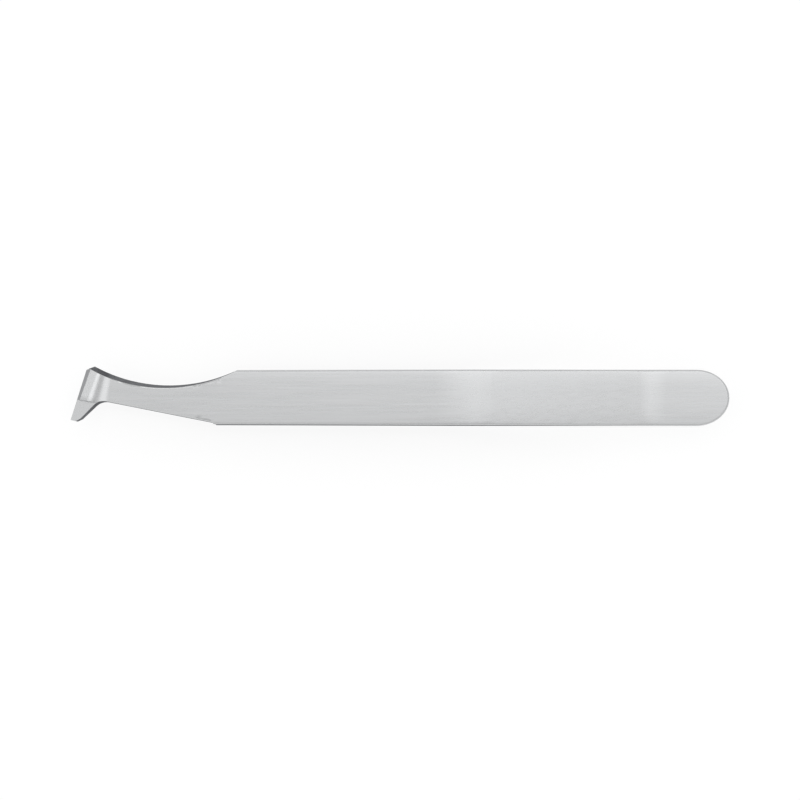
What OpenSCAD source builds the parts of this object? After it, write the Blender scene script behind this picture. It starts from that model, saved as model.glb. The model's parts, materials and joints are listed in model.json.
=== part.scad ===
// Angled cutting tweezers: two spring-steel arms, spot-welded face to face at
// the heel. Each arm is one piece, from the rounded heel along a flat handle
// and a scooped neck to a head that is bent towards the other arm and ground
// to a wide, slanted cutting edge, with a wing below the neck.
// +X runs to the heel, +Y across the arms, +Z up. The pair lies on its lower arm.

/* [Handle] */
// Length over all, from the low end of the cutting edge to the heel
length = 115; // [108:1:125]
// Width of the handle at the weld
handle_w = 9.8; // [9.6:0.1:10.4]
// Width of the handle at the front end of the belly, to which it narrows evenly
front_w = 9.4; // [9.2:0.05:9.6]
// Thickness of each arm
arm_t = 1.25; // [1:0.05:1.5]
// Height of the pair across its belly
pair_h = 13.6; // [13:0.1:15]
// Radius on the long outer edges
edge_r = 0.35; // [0.2:0.01:0.45]
// Radius on the long inner edges
inner_edge_r = 0.15; // [0.05:0.01:0.2]

/* [Heel and belly] */
// Length of the rounded end of the heel
heel_round = 5.7; // [4.9:0.1:6.2]
// Length of the welded heel, where the arms lie on each other
weld_len = 11; // [9:0.5:13]
// Angle at which each arm leaves the heel
splay = 9.5; // [8.5:0.5:11]
// Radius of the bend in front of the weld, on the inner face
splay_r = 30; // [20:1:40]
// Radius of the bend from the splay into the flat belly, on the outer face
belly_r = 60; // [40:5:80]
// Distance from the tip to the front end of the flat belly
belly_front = 26.5; // [25:0.5:28]

/* [Neck] */
// Angle at which the neck falls towards the other arm
neck_fall = 1.6; // [1:0.1:2.4]
// Radius of the bend between belly and neck, on the outer face
neck_bend_r = 180; // [100:10:220]
// Radius of the scoop in the upper edge of the neck
scoop_r = 27.5; // [26:0.1:28.5]
// Distance from the tip to the deepest point of the scoop
scoop_x = 16.5; // [16:0.1:17]
// Depth of the scoop below the handle's edge
scoop_depth = 3.1; // [2.9:0.05:3.3]
// Stock left on the scooped edge of the lower arm, which is ground less deep
lower_stock = 0.7; // [0:0.1:0.8]
// Distance of the lower arm's scoop behind that of the upper arm
lower_back = 0.3; // [0:0.1:0.4]
// Angle of the lower edge of the neck
taper = 11.2; // [10.6:0.1:11.6]
// Distance from the tip to the shoulder where the lower edge starts to taper
shoulder_x = 25.1; // [24.4:0.1:25.6]
// Height of the shoulder, from the handle's edge to the tapered edge
shoulder_h = 0.35; // [0.2:0.05:0.5]
// Slope of the shoulder
shoulder_angle = 45; // [40:1:55]
// Width of the chamfer ground along both edges of the neck
neck_chamfer = 0.22; // [0.1:0.01:0.3]

/* [Bend of the head] */
// Distance from the tip to the line where the head starts to bend, on the centreline
bend_x = 6.9; // [6.6:0.1:7.2]
// Angle of that line, measured from square across the arm
bend_line = 8.5; // [6:0.5:10]
// Angle of the line along which the bent blade lies level
blade_line = 15.5; // [13:0.5:17]
// Outside radius of the bend on the centreline; the bend is a cone, tighter above
bend_r = 5.4; // [5:0.1:6]
// Turn of the bend about the axis of that cone
bend_turn = 42; // [39:1:44]

/* [Cutting edge] */
// Angle of the cutting edge, measured from square across the arm
edge_angle = 17.5; // [17:0.1:18.5]
// Distance of the low end of the cutting edge below the handle's centreline
edge_low = 3.9; // [3.75:0.05:4]
// Distance of the upper arm's head corner above the same line
head_top = 5; // [4.9:0.05:5.1]
// Height of the lower arm's head corner above that of the upper arm, in plan
lower_head = 0.55; // [0:0.05:0.6]
// Slope of the top of the head, from that corner down to the cutting edge
head_slope = 20; // [15:1:30]
// Height of the cutting edge above the plane between the arms, at its low end
edge_rise = 2.75; // [2.6:0.05:2.9]
// Angle of the ground outer bevel
bevel_angle = 64; // [60:1:68]
// Angle of the ground inner face
inner_angle = 18; // [12:1:24]
// Length of the ground inner face, beyond which it runs out
inner_grind = 4; // [3:0.1:4.5]
// Gap between the two cutting edges when the arms are squeezed shut
shut_gap = 0.04; // [0.03:0.01:0.08]

/* [Wing] */
// Distance of the wing's upper limit below the centreline, at the cutting edge
wing_top = 0.2; // [0:0.05:0.4]
// Fall of that limit towards the neck
wing_top_fall = 8; // [4:1:10]
// Angle of the ground outer face of the wing
wing_angle = 40; // [38:1:42]
// Run of the wing's cut end, behind the low end of the cutting edge
wing_end = 1.75; // [1.5:0.05:1.9]
// Depth of the wing's cut end below the low end of the cutting edge, at its middle
wing_foot = 0.22; // [0.16:0.02:0.3]
// Height of the wing's cut end above the same point, at its back
wing_rise = 0.22; // [0.14:0.02:0.3]
// Angle of the straight back edge of the wing
wing_back = 44.5; // [43:0.5:46]
// Radius of the inside corner between neck and wing
wing_corner_r = 2.4; // [2:0.1:3]

/* [Hidden] */
$fn = 96;

STEEL = [0.79, 0.80, 0.81];
STEEL_BELOW = [0.70, 0.71, 0.73];
reach = 2 * handle_w;  // overshoot of the tools that cut the arm
over = 1;              // overshoot of the tools that cut its chamfers
head_blank = 1.4;      // width of the blank at the cutting edge, as a share of the handle's
heel_steps = 14;       // facets round each half of the heel
bend_steps = 6;        // facets round each bend of the handle
head_steps = 14;       // facets round the bend of the head
corner_steps = 8;      // facets round the corner between neck and wing
edge_steps = 4;        // facets round each long outer edge
inner_edge_steps = 2;  // facets round each long inner edge

half_h = pair_h / 2;
half_w = handle_w / 2;
half_front = front_w / 2;
heel_x = length / 2;
tip_x = -heel_x;
weld_x = heel_x - weld_len;

// Side profile. Heights are measured outwards from the plane between the arms.
splay_x = weld_x - (splay_r - arm_t) * sin(splay);
splay_z = splay_r - (splay_r - arm_t) * cos(splay);
splay_len = (half_h - belly_r * (1 - cos(splay)) - splay_z) / sin(splay);
belly_back_x = splay_x - splay_len * cos(splay) - belly_r * sin(splay);
belly_front_x = tip_x + belly_front;
neck_x = belly_front_x - neck_bend_r * sin(neck_fall);
neck_z = half_h - neck_bend_r * (1 - cos(neck_fall));
function neck_top(x) = neck_z - (neck_x - x) * tan(neck_fall);

// Width of the handle in plan, as a share of its width at the weld.
function width_share(x) = (half_front + (half_w - half_front)
    * max(0, min(1, (x - belly_front_x) / (weld_x - belly_front_x)))) / half_w;

// Plan of the neck.
scoop_mid = [tip_x + scoop_x, half_front - scoop_depth + scoop_r];
lower_scoop_mid = scoop_mid + [lower_back, lower_stock];
function head_corner(mid, top) = [mid.x - sqrt(scoop_r ^ 2 - (mid.y - top) ^ 2), top];
taper_start = [tip_x + shoulder_x - shoulder_h / tan(shoulder_angle), shoulder_h - half_front];
function taper_y(x) = taper_start.y + (taper_start.x - x) * tan(taper);

// Bend of the head: a cone whose apex lies on the bend line, beyond the scoop.
head_x = tip_x + bend_x;
cone_sine = tan(blade_line - bend_line) / tan(bend_turn / 2);
cone_angle = asin(cone_sine);
apex_y = bend_r / cone_sine;

// Cutting edge. It lies in a plane through the hinge, so that the two edges meet
// along their whole length when the upper arm is squeezed down.
shut_angle = atan(edge_rise / (weld_x - tip_x));
hinge_x = weld_x - splay_r * sin(shut_angle);
edge_from_hinge = (hinge_x - tip_x) / cos(shut_angle);

// Wing, in plan.
wing_tip = [tip_x, -edge_low];
wing_tail = wing_tip + [wing_end, wing_rise];
corner_x = (taper_y(0) - wing_tail.y + wing_tail.x * tan(wing_back)) / (tan(wing_back) + tan(taper));
corner = [corner_x, taper_y(corner_x)];
along_taper = [cos(taper), -sin(taper)];
along_back = [-cos(wing_back), -sin(wing_back)];
corner_half = (180 - wing_back - taper) / 2;
corner_run = wing_corner_r / tan(corner_half);
corner_mid = corner + wing_corner_r / sin(corner_half)
    * (along_taper + along_back) / norm(along_taper + along_back);
corner_arc = [for (i = [0:corner_steps])
    let (a = 90 - taper + (taper + wing_back) * i / corner_steps)
    corner_mid + wing_corner_r * [cos(a), sin(a)]];

// Cross-section of the strip that an arm is made from, as [y, z] with its outer
// face at z = 0. Both pairs of long edges are rounded.
function arc_points(mid, r, from, to, steps) =
    [for (i = [0:steps]) let (a = from + (to - from) * i / steps) mid + r * [cos(a), sin(a)]];
half_section = concat(
    arc_points([half_w - inner_edge_r, inner_edge_r - arm_t], inner_edge_r, -90, 0, inner_edge_steps),
    arc_points([half_w - edge_r, -edge_r], edge_r, 0, 90, edge_steps));
section_len = 2 * len(half_section);
section = [for (i = [0:section_len - 1]) i < len(half_section) ? half_section[i]
    : let (p = half_section[section_len - 1 - i]) [-p.x, p.y]];

// The arm is lofted through rings, each the cross-section at one place along it,
// from the heel to beyond the cutting edge.
heel_step = 90 / (heel_steps + 0.5);
heel_rings = [for (i = [heel_steps:-1:1]) let (a = i * heel_step)
    [for (p = section) [heel_x - heel_round * (1 - abs(p.x) / half_w * sin(a)), p.x * cos(a),
        arm_t + p.y]]];

// Places along the handle, as [x, z, tilt] on the outer face.
function turn_out(x, z, r, to) = [for (i = [0:bend_steps])
    let (a = to * i / bend_steps) [x - r * sin(a), z - r * cos(a), a]];
function turn_in(x, z, r, from, to) = [for (i = [0:bend_steps])
    let (a = from + (to - from) * i / bend_steps) [x + r * sin(a), z + r * cos(a), a]];
handle_path = concat(
    [[heel_x - heel_round, arm_t, 0]],
    turn_out(weld_x, splay_r, splay_r - arm_t, splay),
    turn_in(belly_back_x, half_h - belly_r, belly_r, splay, 0),
    turn_in(belly_front_x, half_h - neck_bend_r, neck_bend_r, 0, -neck_fall));
handle_rings = [for (s = handle_path)
    [for (p = section) [s.x + p.y * sin(s.z), p.x * width_share(s.x), s.y + p.y * cos(s.z)]]];

function rot_x(p, a) = [p.x, p.y * cos(a) - p.z * sin(a), p.y * sin(a) + p.z * cos(a)];
function rot_y(p, a) = [p.x * cos(a) + p.z * sin(a), p.y, p.z * cos(a) - p.x * sin(a)];
function rot_z(p, a) = [p.x * cos(a) - p.y * sin(a), p.x * sin(a) + p.y * cos(a), p.z];

// A ring on the bend line, swung about the axis of the cone and then moved on by
// run, along the blade. The blank of the head is wider than the handle.
function head_ring(swing, run) = [for (p = section)
    let (y = p.x / cos(bend_line) * (1 + (head_blank - 1) * swing / bend_turn),
         at_apex = rot_x([-run, y - apex_y, p.y], -cone_angle),
         swung = rot_x(rot_y(at_apex, -swing), cone_angle) + [0, apex_y, 0])
    rot_y(rot_z(swung, -bend_line), -neck_fall) + [head_x, 0, neck_top(head_x)]];
head_rings = concat(
    [for (i = [0:head_steps]) head_ring(bend_turn * i / head_steps, 0)],
    [head_ring(bend_turn, reach / 2)]);

module blank() {
    rings = concat(heel_rings, handle_rings, head_rings);
    n = section_len;
    last = len(rings) - 1;
    polyhedron([for (ring = rings) each ring], concat(
        [[for (i = [n - 1:-1:0]) i]],
        [for (k = [0:last - 1], i = [0:n - 1]) let (j = (i + 1) % n)
            [k * n + i, k * n + j, (k + 1) * n + j, (k + 1) * n + i]],
        [[for (i = [0:n - 1]) last * n + i]]), convexity = 6);
}

// Places its children with the low end of the cutting edge at the origin, the
// edge on the Y axis and the plane in which it shuts on the XY plane.
module edge_frame() {
    translate([hinge_x, 0, 0]) rotate([0, shut_angle, 0])
        translate([-edge_from_hinge, -edge_low, shut_gap / 2])
            rotate([0, 0, -edge_angle]) children();
}

// Takes away what lies outside a ground face that rises at angle from the edge.
module grind_outside(angle) {
    edge_frame() rotate([0, -angle, 0])
        translate([-reach, -reach, 0]) cube([2 * reach, 2 * reach, reach]);
}

module grind_inside() {
    edge_frame() rotate([0, -inner_angle, 0])
        translate([-reach, -reach, -reach]) cube([reach + inner_grind, 2 * reach, reach]);
}

module grind_wing() {
    intersection() {
        grind_outside(wing_angle);
        translate([tip_x, -wing_top, 0]) rotate([0, 0, -wing_top_fall])
            translate([-reach, -reach, -reach]) cube([2 * reach, reach, 2 * reach]);
    }
}

// Places its children on the outer face of the neck at a point of the plan.
module on_neck(point) {
    translate([point.x, point.y, neck_top(point.x)]) rotate([0, -neck_fall, 0]) children();
}

// The chamfer round a hollow edge of the neck, whose radius is r.
module hollow_chamfer(r) {
    rotate_extrude() polygon([[r - over, -neck_chamfer - over], [r + neck_chamfer + over, over],
        [r - over, over]]);
}

// What is cut from the blank above the head and the neck, and the neck's chamfer.
// mid is the middle of the scoop, top the height of the head's corner.
module above(mid, top) {
    translate(head_corner(mid, top)) rotate([0, 0, head_slope])
        translate([-reach, 0, -reach]) cube([2 * reach, reach, 2 * reach]);
    on_neck(mid) {
        translate([0, 0, -reach]) cylinder(h = 2 * reach, r = scoop_r);
        hollow_chamfer(scoop_r);
    }
}

// What is cut from the blank below the neck and behind the wing.
module below() {
    translate([0, 0, -reach]) linear_extrude(2 * reach)
        polygon([each corner_arc, wing_tail, wing_tip + [wing_end / 2, -wing_foot], wing_tip,
            [tip_x - reach, wing_tip.y], [tip_x - reach, -reach], [tip_x + shoulder_x, -reach],
            [tip_x + shoulder_x, -half_front], taper_start]);
}

// The chamfer on the straight lower edge of the neck. It grows from nothing at
// the corner with the wing to its full width at the shoulder.
module lower_chamfer() {
    start = corner + corner_run * along_taper;
    run = norm(taper_start - start);
    on_neck(start) rotate([0, 0, atan(neck_chamfer / run) - taper]) rotate([45, 0, 0])
        translate([0, -over, 0]) cube([run, 2 * over, over]);
}

module arm(mid, top) {
    difference() {
        blank();
        above(mid, top);
        below();
        lower_chamfer();
        grind_outside(bevel_angle);
        grind_inside();
        grind_wing();
    }
}

module upper_arm() {
    color(STEEL) translate([0, 0, half_h]) arm(scoop_mid, head_top);
}

module lower_arm() {
    color(STEEL_BELOW) translate([0, 0, half_h]) mirror([0, 0, 1])
        arm(lower_scoop_mid, head_top + lower_head);
}

upper_arm();
lower_arm();
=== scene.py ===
# Angled cutting tweezers in bare spring steel, lying on their lower arm.
# Metres. +X runs to the welded heel, +Y across the arms, +Z up.
import json
import math

import bpy
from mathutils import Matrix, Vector


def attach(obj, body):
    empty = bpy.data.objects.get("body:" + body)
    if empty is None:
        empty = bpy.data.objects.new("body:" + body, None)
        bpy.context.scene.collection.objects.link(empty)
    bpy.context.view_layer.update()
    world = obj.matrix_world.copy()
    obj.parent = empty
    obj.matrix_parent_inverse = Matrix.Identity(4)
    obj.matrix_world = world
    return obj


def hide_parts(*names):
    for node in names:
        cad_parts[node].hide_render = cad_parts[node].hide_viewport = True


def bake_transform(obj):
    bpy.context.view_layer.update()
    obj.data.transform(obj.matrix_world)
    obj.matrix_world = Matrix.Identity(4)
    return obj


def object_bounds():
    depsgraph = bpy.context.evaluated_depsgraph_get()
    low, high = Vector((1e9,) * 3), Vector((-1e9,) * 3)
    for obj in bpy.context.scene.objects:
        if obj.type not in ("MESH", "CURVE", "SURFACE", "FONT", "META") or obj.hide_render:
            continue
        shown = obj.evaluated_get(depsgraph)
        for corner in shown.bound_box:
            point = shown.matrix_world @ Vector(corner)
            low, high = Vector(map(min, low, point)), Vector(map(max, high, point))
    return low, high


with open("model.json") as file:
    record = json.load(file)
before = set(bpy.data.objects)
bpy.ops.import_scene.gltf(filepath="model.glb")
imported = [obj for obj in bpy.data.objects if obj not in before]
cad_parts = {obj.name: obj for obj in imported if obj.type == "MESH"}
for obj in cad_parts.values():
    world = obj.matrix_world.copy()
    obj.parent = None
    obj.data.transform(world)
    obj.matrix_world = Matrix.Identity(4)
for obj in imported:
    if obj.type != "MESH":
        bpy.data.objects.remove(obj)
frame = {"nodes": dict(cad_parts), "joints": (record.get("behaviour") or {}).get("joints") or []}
cad_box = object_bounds()

MM = 0.001

# The two arms, from the frame.
TIP_X = cad_box[0][0]
HEEL_X = cad_box[1][0]
TOP_Z = cad_box[1][2]
HINGE_X = frame["joints"][0]["pos_m"][0]

# The finishes of each arm, in the order of its material slots.
OUTSIDE, HEAD, BEVEL, INSIDE, SIDES = range(5)

# A face is known by how far its normal points outwards: less than the first
# value either way on the sides, more than the second on the flat faces.
SIDE_SLOPE = 0.3
FLAT_SLOPE = 0.9

# Ground facets of the head, as angles from the plane between the arms.
EDGE_TURN = math.radians(17.9)
BEVEL_TILT = math.radians(62.6)
FACET_MATCH = math.radians(1.5)
HEAD_LENGTH = 5.5 * MM

# The line where the wing meets the bent head, how far its painted shade runs out,
# and how much of its brightness the painted shade leaves. The wing's colour is
# painted darker for how its facet faces the light.
WING_LINE_TURN = math.radians(14.5)
WING_LINE = -14.4 * MM
WING_RUN_OUT = 1.0 * MM
WING_PAINTED_SHADE_LEVEL = 0.77

# The crown of the handle's outer face: its height, the power by which it falls
# away, the lines that carry it, the half width over which it falls, and where it
# fades out on the neck.
CROWN = 0.12 * MM
CROWN_POWER = 3
CROWN_LINES = (1.2 * MM, 2.2 * MM, 3.0 * MM, 3.6 * MM, 4.1 * MM)
HANDLE_HALF = 4.9 * MM
CROWN_FADES = (TIP_X + 21.5 * MM, TIP_X + 27 * MM)

# Where the scooped side begins. From there to the tip the sides have crisp edges.
SCOOP_END = TIP_X + 29.5 * MM

# The narrow end face of the heel: how far it reaches in, and its half width.
HEEL_END = (0.5 * MM, 0.27 * MM)

# Where the upper arm flexes when the pair is squeezed.
FLEX_LENGTH = 34 * MM
FLEX_RING = 2 * MM

# How near points are merged, how flat faces are to become one, and how sharp an
# edge may be to count as part of a rounding.
MERGE = 0.0005 * MM
HEEL_MERGE = 10 * MERGE
FLAT_STEP = math.radians(0.1)
ROUNDING_STEP = math.radians(32)

# The levels of the noise between which marks go from dark to light, and how far
# the roughness moves with them.
MARK_LEVELS = (0.3, 0.7)
SHEEN_SPREAD = 0.025

# The paper: its size, the share of it that the lamps light, and its own glow.
PAPER_SIZE = 8
PAPER_LIT = 0.25
PAPER_GLOW = 0.82

# The walls: the heights between which they brighten, as the sine of the angle
# above the floor, and how bright they are there.
WALL_HEIGHTS = (0.5, 1.0)
WALL_BRIGHTNESS = (0.61, 0.76)

# The camera, fitted to the outline of the tweezers. It leans away from the scoop.
CAMERA_DISTANCE = 842 * MM
CAMERA_LEAN = math.radians(-1.1)
CAMERA_AIM = Vector((-0.07 * MM, -0.5 * MM, TOP_Z))
SENSOR_WIDTH = 36
FOCAL_LENGTH = 218.36
CAMERA_REACH = 20


# Colour and nodes

def hex_colour(code):
    """An sRGB hex value as linear red, green, blue and alpha."""
    channels = [int(code[i:i + 2], 16) / 255 for i in (0, 2, 4)]
    linear = [c / 12.92 if c <= 0.04045 else ((c + 0.055) / 1.055) ** 2.4 for c in channels]
    return (*linear, 1.0)


def add_node(tree, kind, settings=None, links=None):
    """Adds a node. A setting is a property's name, or else a socket's name or
    number. A link joins an input to another node's output."""
    node = tree.nodes.new(kind)
    for name, value in (settings or {}).items():
        if isinstance(name, str) and hasattr(node, name):
            setattr(node, name, value)
        else:
            node.inputs[name].default_value = value
    for name, source in (links or {}).items():
        tree.links.new(source, node.inputs[name])
    return node


def new_material(name):
    material = bpy.data.materials.new(name)
    material.use_nodes = True
    material.node_tree.nodes.clear()
    return material


def turned_place(tree, turn):
    """Places on the piece, turned about the upright axis."""
    place = add_node(tree, "ShaderNodeTexCoord").outputs["Object"]
    return add_node(tree, "ShaderNodeMapping", {"Rotation": (0, 0, turn)},
                    {"Vector": place}).outputs["Vector"]


# Finishes of the steel

def streaks(tree, spacing, stretch, turn=0.0):
    """Parallel marks. spacing is the distance between them, stretch how many
    times longer than wide they are, turn their direction."""
    scale = (1 / (spacing * stretch), 1 / spacing, 1 / spacing)
    drawn_out = add_node(tree, "ShaderNodeMapping", {"Scale": scale},
                         {"Vector": turned_place(tree, turn)}).outputs["Vector"]
    return add_node(tree, "ShaderNodeTexNoise", {"Scale": 1.0, "Detail": 3.0, "Roughness": 0.6},
                    {"Vector": drawn_out}).outputs["Fac"]


def steel(name, dark, light, roughness, marks, relief, anisotropy, painted_shade=None):
    """A finish whose tone, sheen and relief follow the same marks. The last argument
    gives how much of its brightness a painted shade leaves from place to place."""
    material = new_material(name)
    tree = material.node_tree
    pattern = marks(tree)
    tone = add_node(tree, "ShaderNodeValToRGB", {}, {"Fac": pattern})
    for stop, level, code in zip(tone.color_ramp.elements, MARK_LEVELS, (dark, light)):
        stop.position = level
        stop.color = hex_colour(code)
    colour = tone.outputs["Color"]
    # Painted shade: the colour is scaled down to the brightness that is left.
    if painted_shade:
        colour = add_node(tree, "ShaderNodeVectorMath", {"operation": "SCALE"},
                          {0: colour, "Scale": painted_shade(tree)}).outputs["Vector"]
    sheen = add_node(tree, "ShaderNodeMapRange",
                     {"From Min": MARK_LEVELS[0], "From Max": MARK_LEVELS[1],
                      "To Min": roughness - SHEEN_SPREAD, "To Max": roughness + SHEEN_SPREAD},
                     {"Value": pattern})
    grooves = add_node(tree, "ShaderNodeBump", {"Strength": 1.0, "Distance": relief},
                       {"Height": pattern})
    outward = add_node(tree, "ShaderNodeNewGeometry").outputs["Normal"]
    across = add_node(tree, "ShaderNodeVectorMath", {"operation": "CROSS_PRODUCT", 1: (1, 0, 0)},
                      {0: outward})
    surface = add_node(tree, "ShaderNodeBsdfPrincipled",
                       {"Metallic": 1.0, "Anisotropic": anisotropy},
                       {"Base Color": colour, "Roughness": sheen.outputs["Result"],
                        "Normal": grooves.outputs["Normal"], "Tangent": across.outputs["Vector"]})
    add_node(tree, "ShaderNodeOutputMaterial", {}, {"Surface": surface.outputs["BSDF"]})
    return material


def brushed_spring_steel():
    """Stainless strip brushed lengthwise: satin, with long fine lines. They are
    taken as 0.05 mm apart on real strip, and drawn at 0.35 mm so that they show."""
    return steel("brushed_spring_steel", "D4D5D6", "DBDCDD", 0.28,
                 lambda tree: streaks(tree, 0.35 * MM, 40), 0.0003 * MM, 0.65)


def wing_painted_shade(tree):
    """How much brightness the painted shade on the wing leaves: the least on the
    wing, and all of it from a millimetre away on the bent head."""
    turned = turned_place(tree, WING_LINE_TURN)
    across = add_node(tree, "ShaderNodeSeparateXYZ", {}, {"Vector": turned}).outputs["Y"]
    return add_node(tree, "ShaderNodeMapRange",
                    {"From Min": WING_LINE, "From Max": WING_LINE + WING_RUN_OUT,
                     "To Min": WING_PAINTED_SHADE_LEVEL, "To Max": 1.0},
                    {"Value": across}).outputs["Result"]


def wheel_ground_steel_with_painted_shade():
    """The bent head and its wing, ground on a wheel across the blade, with short
    close lines, drawn at 0.2 mm so that they show. The wing is painted darker, a
    painted shade for how its facet faces the light, and that runs out softly into
    the bend."""
    return steel("wheel_ground_steel_with_painted_shade", "D4D5D6", "DBDCDD", 0.28,
                 lambda tree: streaks(tree, 0.2 * MM, 12, math.pi / 2 - EDGE_TURN),
                 0.0003 * MM, 0.65, wing_painted_shade)


def stoned_edge_painted_reflection_steel():
    """The narrow bevel behind the cutting edge, dressed on a coarse stone: the
    dullest of the ground faces. Its dark grey is a painted reflection of dark
    surroundings. Its marks are drawn at 0.15 mm so that they show."""
    # Painted reflection: the dark grey stands in for the dark surroundings that the bevel
    # reflects.
    return steel("stoned_edge_painted_reflection_steel", "909193", "9D9EA0", 0.42,
                 lambda tree: streaks(tree, 0.15 * MM, 8, math.pi / 2 - EDGE_TURN),
                 0.001 * MM, 0.0)


def painted_shade_inner_steel():
    """The faces between the arms, painted dark grey beside the brushed outside: a
    painted shade for the shade that falls between the arms. Its faint lengthwise
    shades are half a millimetre wide."""
    # Painted shade: dark grey for the shade between the arms.
    return steel("painted_shade_inner_steel", "7C7D80", "8C8D90", 0.45,
                 lambda tree: streaks(tree, 0.5 * MM, 10), 0.0008 * MM, 0.1)


def blanked_side_steel_with_painted_shade():
    """The sides of the strip, left as the press cut them and only tumbled: matt,
    with marks a quarter of a millimetre wide. Their colour is painted a shade
    darker than the brushed face, a painted shade for the dark gap along the arms'
    edges."""
    # Painted shade: the darker grey stands in for the shaded gap along the arms' edges; the matt
    # sheen is the real finish.
    return steel("blanked_side_steel_with_painted_shade", "9C9D9F", "AAABAD", 0.42,
                 lambda tree: streaks(tree, 0.25 * MM, 6), 0.0008 * MM, 0.1)


# The arms

def make_active(piece):
    bpy.ops.object.select_all(action="DESELECT")
    piece.select_set(True)
    bpy.context.view_layer.objects.active = piece


def apply_modifier(piece, name, kind, **settings):
    make_active(piece)
    modifier = piece.modifiers.new(name, kind)
    for setting, value in settings.items():
        setattr(modifier, setting, value)
    bpy.ops.object.modifier_apply(modifier=name)


def facet_normal(tilt, side):
    """The way that a ground facet faces. side is 1 on the upper arm and -1 on the
    lower one."""
    return Vector((-math.sin(tilt) * math.cos(EDGE_TURN),
                   math.sin(tilt) * math.sin(EDGE_TURN), side * math.cos(tilt)))


def finish_faces(piece, side):
    """Gives each face its finish, by the way it faces and how near the tip it is."""
    bevel = facet_normal(BEVEL_TILT, side)
    for face in piece.data.polygons:
        outward = face.normal.z * side
        if face.normal.angle(bevel) < FACET_MATCH:
            face.material_index = BEVEL
        elif outward < -SIDE_SLOPE:
            face.material_index = INSIDE
        elif outward < SIDE_SLOPE:
            face.material_index = SIDES
        elif face.center.x < TIP_X + HEAD_LENGTH:
            face.material_index = HEAD
        else:
            face.material_index = OUTSIDE


def select_only(piece, kind, chosen):
    """Selects in edit mode just the corners or faces that are chosen."""
    bpy.ops.mesh.select_mode(type=kind)
    bpy.ops.mesh.select_all(action="DESELECT")
    bpy.ops.object.mode_set(mode="OBJECT")
    elements = piece.data.polygons if kind == "FACE" else piece.data.vertices
    for element in elements:
        element.select = chosen(element)
    bpy.ops.object.mode_set(mode="EDIT")


def at_heel_end(point):
    return point.x > HEEL_X - HEEL_END[0] and abs(point.y) < HEEL_END[1]


def close_heel_end(piece):
    """The solid's heel ends in a face half a millimetre wide that sinks inwards.
    It goes, and the round sides are drawn together over it."""
    points = piece.data.vertices
    select_only(piece, "FACE", lambda face: all(at_heel_end(points[i].co) for i in face.vertices))
    bpy.ops.mesh.delete(type="FACE")
    select_only(piece, "VERT", lambda point: at_heel_end(point.co))
    bpy.ops.transform.resize(value=(1, 0, 1), center_override=(0, 0, 0))
    bpy.ops.mesh.remove_doubles(threshold=HEEL_MERGE)


def cut_lengthwise(piece, side):
    """Lines along the outer face of the handle, on which its crown is raised."""
    for line in CROWN_LINES:
        for place in (-line, line):
            select_only(piece, "FACE", lambda face: face.center.x > CROWN_FADES[0]
                        and face.normal.z * side > FLAT_SLOPE)
            bpy.ops.mesh.bisect(plane_co=(0, place, 0), plane_no=(0, 1, 0))


def crown_handle(piece, side):
    """Lowers the outer face towards its long edges, and not at all on the neck."""
    group = piece.vertex_groups.new(name="crown")
    for vertex in piece.data.vertices:
        share = (vertex.co.x - CROWN_FADES[0]) / (CROWN_FADES[1] - CROWN_FADES[0])
        fade = min(1.0, max(0.0, share))
        fall = abs(vertex.co.y / HANDLE_HALF) ** CROWN_POWER
        group.add([vertex.index], fade * fall, "REPLACE")
    for face in piece.data.polygons:
        if face.normal.z * side < -FLAT_SLOPE:
            group.remove(list(face.vertices))
    apply_modifier(piece, "crown", "DISPLACE", direction="Z", mid_level=0.0,
                   strength=-side * CROWN, vertex_group="crown")


def keep_border_crisp(piece, finish, end_x):
    """Marks the border of the faces with that finish as sharp, up to end_x."""
    own_edges = set()
    other_edges = set()
    for face in piece.data.polygons:
        (own_edges if face.material_index == finish else other_edges).update(face.edge_keys)
    for edge in piece.data.edges:
        start_x = piece.data.vertices[edge.vertices[0]].co.x
        if edge.key in own_edges and edge.key in other_edges and start_x < end_x:
            edge.use_edge_sharp = True


def dressed_arm(node, name, side, finishes):
    """A copy of an arm's solid with its triangles merged into clean faces, rings
    where it flexes, its crown, its finishes and smooth shading over its roundings."""
    piece = bpy.data.objects.new(name, frame["nodes"][node].data.copy())
    bpy.context.scene.collection.objects.link(piece)
    piece.data.materials.clear()
    for finish in finishes:
        piece.data.materials.append(finish)
    make_active(piece)
    bpy.ops.object.mode_set(mode="EDIT")
    bpy.ops.mesh.select_all(action="SELECT")
    bpy.ops.mesh.remove_doubles(threshold=MERGE)
    close_heel_end(piece)
    bpy.ops.mesh.select_all(action="SELECT")
    bpy.ops.mesh.dissolve_limited(angle_limit=FLAT_STEP)
    for ring in range(int(FLEX_LENGTH / FLEX_RING)):
        bpy.ops.mesh.select_all(action="SELECT")
        bpy.ops.mesh.bisect(plane_co=(HINGE_X - ring * FLEX_RING, 0, 0), plane_no=(1, 0, 0))
    cut_lengthwise(piece, side)
    bpy.ops.object.mode_set(mode="OBJECT")
    finish_faces(piece, side)
    crown_handle(piece, side)
    make_active(piece)
    bpy.ops.object.shade_smooth_by_angle(angle=ROUNDING_STEP)
    keep_border_crisp(piece, BEVEL, HEEL_X)
    keep_border_crisp(piece, SIDES, SCOOP_END)
    apply_modifier(piece, "flat_faces", "WEIGHTED_NORMAL", keep_sharp=True)
    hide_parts(node)
    return piece


# Floor, light and camera

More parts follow.
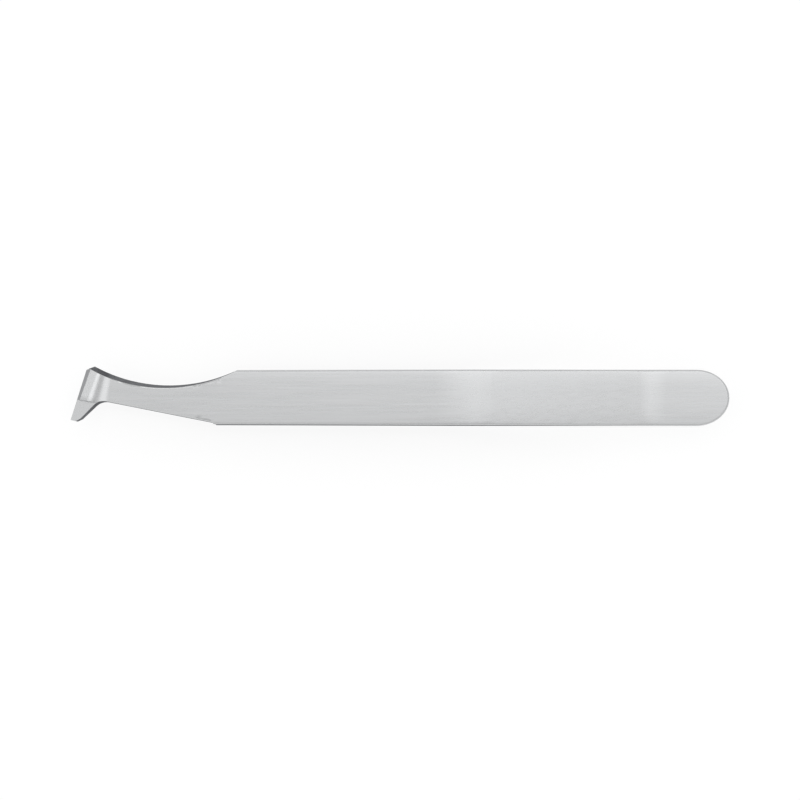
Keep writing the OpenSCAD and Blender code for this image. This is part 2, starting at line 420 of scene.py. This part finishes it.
def white_paper():
    """White paper. It shows white to the eye and in the steel, and a share of it
    is lit by the lamps, so that it keeps a faint shadow."""
    bpy.ops.object.select_all(action="DESELECT")
    bpy.ops.mesh.primitive_plane_add(size=PAPER_SIZE)
    paper = bpy.context.object
    paper.name = "white_paper"
    material = new_material("white_paper")
    tree = material.node_tree
    ray = add_node(tree, "ShaderNodeLightPath")
    seen = add_node(tree, "ShaderNodeMath", {"operation": "MAXIMUM"},
                    {0: ray.outputs["Is Camera Ray"], 1: ray.outputs["Is Glossy Ray"]})
    lit = add_node(tree, "ShaderNodeBsdfDiffuse", {"Color": (PAPER_LIT, PAPER_LIT, PAPER_LIT, 1)})
    plain = add_node(tree, "ShaderNodeBsdfDiffuse", {"Color": hex_colour("F4F4F4")})
    glow = add_node(tree, "ShaderNodeEmission", {"Color": (1, 1, 1, 1), "Strength": PAPER_GLOW})
    shown = add_node(tree, "ShaderNodeAddShader", {},
                     {0: lit.outputs["BSDF"], 1: glow.outputs["Emission"]})
    mixed = add_node(tree, "ShaderNodeMixShader", {},
                     {0: seen.outputs[0], 1: plain.outputs["BSDF"], 2: shown.outputs["Shader"]})
    add_node(tree, "ShaderNodeOutputMaterial", {}, {"Surface": mixed.outputs["Shader"]})
    paper.data.materials.append(material)


def studio_world():
    """Pale walls all round, dimmer towards the floor."""
    world = bpy.data.worlds.new("studio")
    world.use_nodes = True
    tree = world.node_tree
    tree.nodes.clear()
    way = add_node(tree, "ShaderNodeTexCoord").outputs["Generated"]
    height = add_node(tree, "ShaderNodeSeparateXYZ", {}, {"Vector": way}).outputs["Z"]
    level = add_node(tree, "ShaderNodeMapRange",
                     {"From Min": WALL_HEIGHTS[0], "From Max": WALL_HEIGHTS[1],
                      "To Min": WALL_BRIGHTNESS[0], "To Max": WALL_BRIGHTNESS[1]},
                     {"Value": height}).outputs["Result"]
    wall = add_node(tree, "ShaderNodeBackground", {"Color": (1, 1, 1, 1)}, {"Strength": level})
    add_node(tree, "ShaderNodeOutputWorld", {}, {"Surface": wall.outputs["Background"]})
    bpy.context.scene.world = world


def softbox(name, place, size, brightness):
    """A soft lamp that faces the tweezers. brightness is how bright its face is,
    where 1 is white."""
    light = bpy.data.lights.new(name, "AREA")
    light.shape = "RECTANGLE"
    light.size = size[0]
    light.size_y = size[1]
    light.energy = brightness * math.pi * size[0] * size[1]
    lamp = bpy.data.objects.new(name, light)
    lamp.location = place
    lamp.rotation_euler = Vector(place).to_track_quat("Z", "Y").to_euler()
    bpy.context.scene.collection.objects.link(lamp)


def photo_camera():
    """Looks down on the outer face of the upper arm."""
    camera = bpy.data.cameras.new("camera")
    camera.sensor_width = SENSOR_WIDTH
    camera.lens = FOCAL_LENGTH
    camera.clip_end = CAMERA_REACH
    eye = bpy.data.objects.new("camera", camera)
    towards_eye = Vector((0, math.sin(CAMERA_LEAN), math.cos(CAMERA_LEAN)))
    eye.location = CAMERA_AIM + CAMERA_DISTANCE * towards_eye
    eye.rotation_euler = (-CAMERA_LEAN, 0, 0)
    bpy.context.scene.collection.objects.link(eye)
    bpy.context.scene.camera = eye


# Making

finishes = [brushed_spring_steel(), wheel_ground_steel_with_painted_shade(), stoned_edge_painted_reflection_steel(),
            painted_shade_inner_steel(), blanked_side_steel_with_painted_shade()]
lower = dressed_arm("lower_arm", "lower_arm_steel", -1, finishes)
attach(lower, "lower_arm")
upper = dressed_arm("upper_arm", "upper_arm_steel", 1, finishes)
# The heels are welded, so the upper arm stays put there and flexes in front.
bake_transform(upper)

white_paper()
studio_world()
softbox("overhead_softbox", (0.32, 0.5, 1.25), (0.82, 0.9), 0.54)
softbox("front_softbox", (-0.62, 0.2, 1.22), (1.2, 0.63), 0.45)
softbox("left_softbox", (-1.32, 0.36, 0.38), (1.6, 0.46), 0.72)
photo_camera()
bpy.context.scene.view_settings.view_transform = "Standard"
